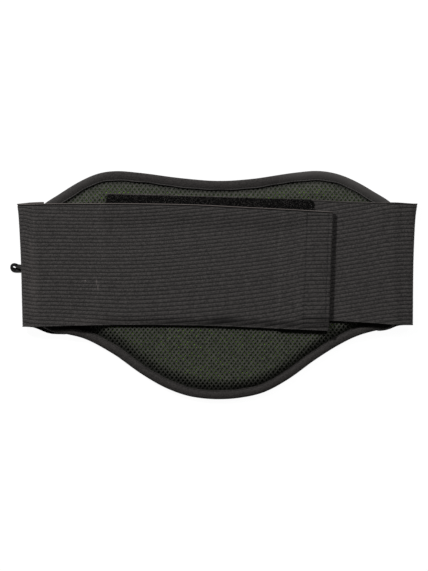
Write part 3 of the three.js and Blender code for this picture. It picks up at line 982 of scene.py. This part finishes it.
def lay_band(bm, band, shares, lines):
    """Lays a grid along a band's lines, and gives each corner's column, share and rib number."""
    lengths = [walked(line) for line in lines]
    columns, rows = len(lines[0]) - 1, len(shares) - 1
    bmesh.ops.create_grid(bm, x_segments=columns, y_segments=rows, size=0.5)
    weave = bm.loops.layers.uv.new("weave")
    laid, threads = [], {}
    for corner in bm.verts:
        column = round((corner.co.x + 0.5) * columns)
        row = round((corner.co.y + 0.5) * rows)
        corner.co = lines[row][column]
        ribs = rib_number(band, corner.co, shares[row], column <= REAR_STEPS)
        laid.append((column, shares[row], ribs))
        threads[corner] = (lengths[row][column], ribs)
    for face in bm.faces:
        for loop in face.loops:
            loop[weave].uv = threads[loop.vert]
    return laid


def make_band(band, front_run):
    """A band as one sheet of ribbed elastic from its sewn end to its free end."""
    bm = bmesh.new()
    edge = bm.verts.layers.float.new("edge")
    trench_shade = bm.verts.layers.float.new("seam")
    laid = lay_band(bm, band, *band_runs(band, front_run))
    if band["side"] > 0:
        bmesh.ops.reverse_faces(bm, faces=bm.faces[:])
    bm.normal_update()
    moves = []
    for corner, at in zip(bm.verts, laid):
        relief = band_relief(band["side"], corner.co, corner.normal.z > 0.5, *at)
        # seam carries the painted shade of ditches and trenches, edge the painted highlight of the welt
        depth, corner[trench_shade], corner[edge] = relief
        moves.append(corner.normal * (BAND_THICK / 2 - depth))
    for corner, move in zip(bm.verts, moves):
        corner.co += move
    bmesh.ops.solidify(bm, geom=bm.faces[:], thickness=BAND_THICK - RIB_DEPTH)
    bm.normal_update()
    return finish_piece(bm, band["name"], ELASTIC, [band["replaces"]])


# The fastening, the hanging loop and the sewing

def height_of(*names):
    """A search tree over the tops of some pieces, in millimetres."""
    bm = bmesh.new()
    for name in names:
        bm.from_mesh(bpy.data.objects[name].data)
    bmesh.ops.scale(bm, vec=(1 / MM, 1 / MM, 1 / MM), verts=bm.verts)
    tree = BVHTree.FromBMesh(bm)
    bm.free()
    return tree


def drop(tree, x, y, below=False):
    """The place and facing of a surface straight above or below a point."""
    start, way = ((x, y, -50), (0, 0, 1)) if below else ((x, y, 80), (0, 0, -1))
    place, facing, _, _ = tree.ray_cast(Vector(start), Vector(way))
    return place, facing


STITCH_SIZE = (1.05, 0.3, 0.24)  # half a stitch's length, width and height
STITCH_PITCH = 3
LAP_INSETS = (2.5, 6.5, 16)  # how far from a band's sewn end its rows of stitches lie


def stitch_template():
    bm = bmesh.new()
    bmesh.ops.create_uvsphere(bm, u_segments=6, v_segments=6, radius=1)
    bmesh.ops.scale(bm, vec=STITCH_SIZE, verts=bm.verts)
    for corner in bm.verts:
        corner.co.z -= 0.12 * corner.co.x**2
    mesh = bpy.data.meshes.new("stitch")
    bm.to_mesh(mesh)
    bm.free()
    return mesh


STITCH = stitch_template()


def seam(line, tree, below=False):
    """Stitch places along a line of flat points, on the surface of the tree."""
    length = sum((after - before).length for before, after in zip(line, line[1:]))
    points = spaced(line, max(1, round(length / STITCH_PITCH)))
    places = []
    for before, after in zip(points, points[1:]):
        middle = before.lerp(after, 0.5)
        spot, facing = drop(tree, middle.x, middle.y, below)
        if spot:
            places.append(frame_at(spot + facing * 0.1, after - before, facing))
    return places


STRIP_LENGTH = 213.6
STRIP_WIDTH = 11.3
STRIP_BACKING = 0.9
STRIP_COLUMNS = 90
STRIP_CORNER = 3.6
STRIP_TURN = math.radians(-1.55)


def corner_cut(y):
    """How far the strip's rounded end is drawn in at a distance from its middle line."""
    into = max(abs(y) - STRIP_WIDTH / 2 + STRIP_CORNER, 0)
    return STRIP_CORNER - math.sqrt(max(STRIP_CORNER**2 - into**2, 0))


def strip_place(along, across):
    y = (across - 0.5) * STRIP_WIDTH
    return Vector(((along - 0.5) * (STRIP_LENGTH - 2 * corner_cut(y)), y, 0))


def pile_loop(name, thread, reach):
    """One curl that stands on its two ends, from the thread's radius and the curl's own."""
    bm = bmesh.new()
    bmesh.ops.create_circle(bm, segments=3, radius=thread, cap_ends=True)
    bmesh.ops.translate(bm, vec=(reach, 0, 0), verts=bm.verts)
    bmesh.ops.spin(
        bm, geom=bm.verts[:] + bm.edges[:] + bm.faces[:], cent=(0, 0, 0), axis=(0, -1, 0),
        angle=math.pi * 1.1, steps=5,
    )
    bmesh.ops.recalc_face_normals(bm, faces=bm.faces[:])
    mesh = bpy.data.meshes.new(name)
    bm.to_mesh(mesh)
    bm.free()
    return mesh


def strip_backing(spot):
    """The strip's flat backing with rounded ends, laid at its spot on the belt."""
    bm = sheet(STRIP_COLUMNS, 4, strip_place)
    raised = bmesh.ops.extrude_face_region(bm, geom=bm.faces[:])
    for corner in raised["geom"]:
        if isinstance(corner, bmesh.types.BMVert):
            corner.co.z += STRIP_BACKING
    bmesh.ops.recalc_face_normals(bm, faces=bm.faces[:])
    bmesh.ops.transform(bm, matrix=spot, verts=bm.verts)
    bm.verts.layers.float.new("pale")
    return bm


def scattered_curls(loop, count, spot, palest):
    """Copies of one curl at random places over the strip, palest being 1 for pale and 0 for dark."""
    places = []
    for _ in range(count):
        x, y = LOOSE.uniform(-106, 106), LOOSE.uniform(-5.2, 5.9)
        lean = Matrix.Rotation(LOOSE.uniform(-0.7, 0.7), 4, "X")
        tilt = Matrix.Rotation(LOOSE.uniform(-0.5, 0.5), 4, "Y")
        around = Matrix.Rotation(LOOSE.uniform(0, 6.3), 4, "Z")
        size = Matrix.Scale(LOOSE.uniform(0.75, 1.15), 4)
        if abs(x) < STRIP_LENGTH / 2 - corner_cut(y) - 0.4:
            places.append(spot @ Matrix.Translation((x, y, 0.85)) @ around @ lean @ tilt @ size)
    curls = repeat(loop, places)
    tone = curls.verts.layers.float.new("pale")
    for corner in curls.verts:
        corner[tone] = palest * mix(0.1, 0.9, noise.noise(corner.co / 1.2) * 0.5 + 0.5)
    mesh = bpy.data.meshes.new("curls")
    curls.to_mesh(mesh)
    curls.free()
    return mesh


def make_pile():
    """The looped strip: a flat rounded backing covered with small curled loops."""
    low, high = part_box("loop_strip")
    centre = (low + high) / 2 / MM
    spot = Matrix.Translation((centre.x, centre.y, ON_BAND)) @ Matrix.Rotation(STRIP_TURN, 4, "Z")
    bm = strip_backing(spot)
    dark_loop, pale_loop = pile_loop("dark_loop", 0.13, 0.42), pile_loop("pale_loop", 0.11, 0.5)
    for palest, count, loop in ((0, 2700, dark_loop), (1, 1300, pale_loop)):
        bm.from_mesh(scattered_curls(loop, count, spot, palest))
    for corner in bm.verts:
        corner.co.z += ripple(corner.co.x, corner.co.y)
    return finish_piece(bm, "pile_strip", PILE, ["loop_strip"])


# The loop's middle line, as (x, y, z, degrees by which the tape is turned on edge)
HANGING_LOOP = [
    (-188, 20.4, 0.4, 0), (-194, 20, 0.4, 0), (-197, 19.3, 0.6, 2), (-199.5, 18.75, 1.3, 8),
    (-202, 18.6, 1.7, 18), (-204.4, 19.35, 2.1, 41), (-206.4, 20.65, 2.5, 58),
    (-208.6, 20.95, 2.6, 61), (-210.1, 20.1, 2.6, 61), (-210.5, 18.3, 2.5, 58),
    (-209.9, 16.8, 2.1, 46), (-208.2, 15.5, 1.5, 24), (-205.5, 15.1, 1.1, 5),
    (-202, 15.1, 0.8, 0), (-198, 15.1, 0.4, 0), (-188, 15.1, 0.4, 0),
]


def make_hanging_loop():
    """The hanging loop: narrow tape that leaves the fold flat and turns on edge at its tip."""
    steps = 8
    middle = spline([Vector(row[:3]) for row in HANGING_LOOP], False, steps)
    turns = spline([Vector((row[3], 0, 0)) for row in HANGING_LOOP], False, steps)
    columns = len(middle) - 1

    def place(along, across):
        at = round(along * columns)
        tangent = middle[min(at + 1, columns)] - middle[max(at - 1, 0)]
        side = Vector((0, 0, 1)).cross(tangent).normalized()
        turn = math.radians(turns[at].x)
        width = side * math.cos(turn) + Vector((0, 0, 1)) * math.sin(turn)
        return middle[at] + width * (across - 0.5) * LOOP_TAPE_WIDTH

    # dark selvedges, and painted shade over the part of the tape that is turned on edge
    def selvedge_and_shade(along, across):
        on_edge_shade = 0.93 * climb(turns[round(along * columns)].x, 34, 54)
        return max(0.5 * hump(1 - across, 0.1), 0.4 * hump(across, 0.1), on_edge_shade)

    bm = sheet(columns, 16, place)
    edge = bm.verts.layers.float.new("edge")
    for corner, (along, across) in zip(bm.verts, grid_shares(columns, 16)):
        corner[edge] = selvedge_and_shade(along, across)
    thicken(bm, LOOP_TAPE_THICK)
    bmesh.ops.recalc_face_normals(bm, faces=bm.faces[:])
    return finish_piece(bm, "hanging_tape", NARROW, ["hang_loop"])


def make_sewing(name, places):
    bm = repeat(STITCH, places)
    return finish_piece(bm, name, THREAD)


def tab_corner(inset, share):
    x = lookup(LEFT["lines"], share, FREE_END) - inset
    return Vector((x, edge_place(LEFT["front"], x, share), 0))


def sew_binding():
    edge = height_of("rolled_binding")
    upper = [point + inward * STITCH_INSET * lap(point.y) for point, inward in OUTLINE_POINTS]
    lower = [point + inward * STITCH_INSET for point, inward in OUTLINE_POINTS]
    make_sewing("binding_stitches_top", seam([*upper, upper[0]], edge))
    make_sewing("binding_stitches_under", seam([*lower, lower[0]], edge, below=True))


def sew_hook_panel():
    bands = height_of("left_elastic", "right_elastic")
    tab = []
    for inset in (SEAM_NEAR, SEAM_FAR):
        heights = (SEAM_LOW, 60, SEAM_HIGH)
        tab += seam([tab_corner(inset, height / BAND_WIDTH) for height in heights], bands)
    for height in (SEAM_LOW, SEAM_HIGH):
        tab += seam([tab_corner(inset, height / BAND_WIDTH) for inset in (SEAM_NEAR, SEAM_FAR)], bands)
    make_sewing("tab_stitches", tab)


def sew_laps():
    """The rows of stitches that hold each band's sewn end under the panel."""
    under = height_of("back_shell", "left_elastic", "right_elastic", "rolled_binding")
    laps = []
    for band in (LEFT, RIGHT):
        for inset in LAP_INSETS:
            line = []
            for share in (0.02, 0.25, 0.5, 0.75, 0.98):
                x = lookup(band["lines"], share, SEWN_END) + band["side"] * inset
                line.append(Vector((x, edge_place(band["rear"], x, share), 0)))
            laps += seam(line, under, below=True)
    make_sewing("lap_stitches", laps)


# The studio

FLOOR_LEVEL = -0.4  # just under the belt's lowest stitches

# As (name, place, diameter, power), each aimed at the belt's middle
LAMPS = [
    ("left_box", (-1.45, 1.7, 1.55), 0.3, 73),
    ("right_box", (1.25, 1.45, 1.4), 1.1, 24),
]


def make_floor():
    bm = bmesh.new()
    bmesh.ops.create_grid(bm, x_segments=1, y_segments=1, size=6)
    mesh = bpy.data.meshes.new("floor")
    bm.to_mesh(mesh)
    bm.free()
    floor = bpy.data.objects.new("floor", mesh)
    bpy.context.scene.collection.objects.link(floor)
    floor.location.z = FLOOR_LEVEL * MM
    material, _, shader = new_material("white_paper", Roughness=0.9)
    shader.inputs["Base Color"].default_value = (0.06, 0.06, 0.06, 1)
    shader.inputs["Emission Color"].default_value = (1, 1, 1, 1)
    shader.inputs["Emission Strength"].default_value = 0.97
    mesh.materials.append(material)


def make_lamp(name, place, size, power):
    light = bpy.data.lights.new(name, "AREA")
    light.shape = "DISK"
    light.size = size
    light.energy = power
    lamp = bpy.data.objects.new(name, light)
    bpy.context.scene.collection.objects.link(lamp)
    lamp.location = place
    lamp.rotation_euler = (-Vector(place)).to_track_quat("-Z", "Y").to_euler()


def make_studio():
    scene = bpy.context.scene
    world = bpy.data.worlds.new("studio")
    world.use_nodes = True
    world.node_tree.nodes["Background"].inputs["Color"].default_value = (1, 1, 1, 1)
    world.node_tree.nodes["Background"].inputs["Strength"].default_value = 0.04
    scene.world = world
    scene.view_settings.view_transform = "Standard"
    for lamp in LAMPS:
        make_lamp(*lamp)


PIXEL = 1.03  # millimetres of the belt in one pixel of the picture
PICTURE = (428, 571)
MIDDLE = (216, 285)  # where the belt's middle is in the picture
RIM_LEVEL = 4  # height of the belt's widest outline, where that scale holds
LENS = 200
SENSOR = 36


def make_camera():
    """Looks straight down, from where the belt is as large in the picture as in the photograph."""
    data = bpy.data.cameras.new("camera")
    data.lens = LENS
    data.sensor_width = SENSOR
    camera = bpy.data.objects.new("camera", data)
    bpy.context.scene.collection.objects.link(camera)
    view_height = PICTURE[1] * PIXEL
    distance = view_height * LENS / SENSOR
    x = (PICTURE[0] / 2 - MIDDLE[0]) * PIXEL
    y = (MIDDLE[1] - PICTURE[1] / 2) * PIXEL
    camera.location = Vector((x, y, distance + RIM_LEVEL)) * MM
    data.clip_end = 50
    bpy.context.scene.camera = camera


# Making the belt

make_camera()
make_studio()
make_floor()
shell = make_back_shell()
lining = make_lining()
make_binding()
right = make_band(RIGHT, right_front)
left = make_band(LEFT, left_front)
make_pile()
make_hanging_loop()
sew_binding()
sew_hook_panel()
sew_laps()
hook_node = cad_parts["hook_panel"]
hook_node.data.materials.clear()
hook_node.data.materials.append(HOOKS)
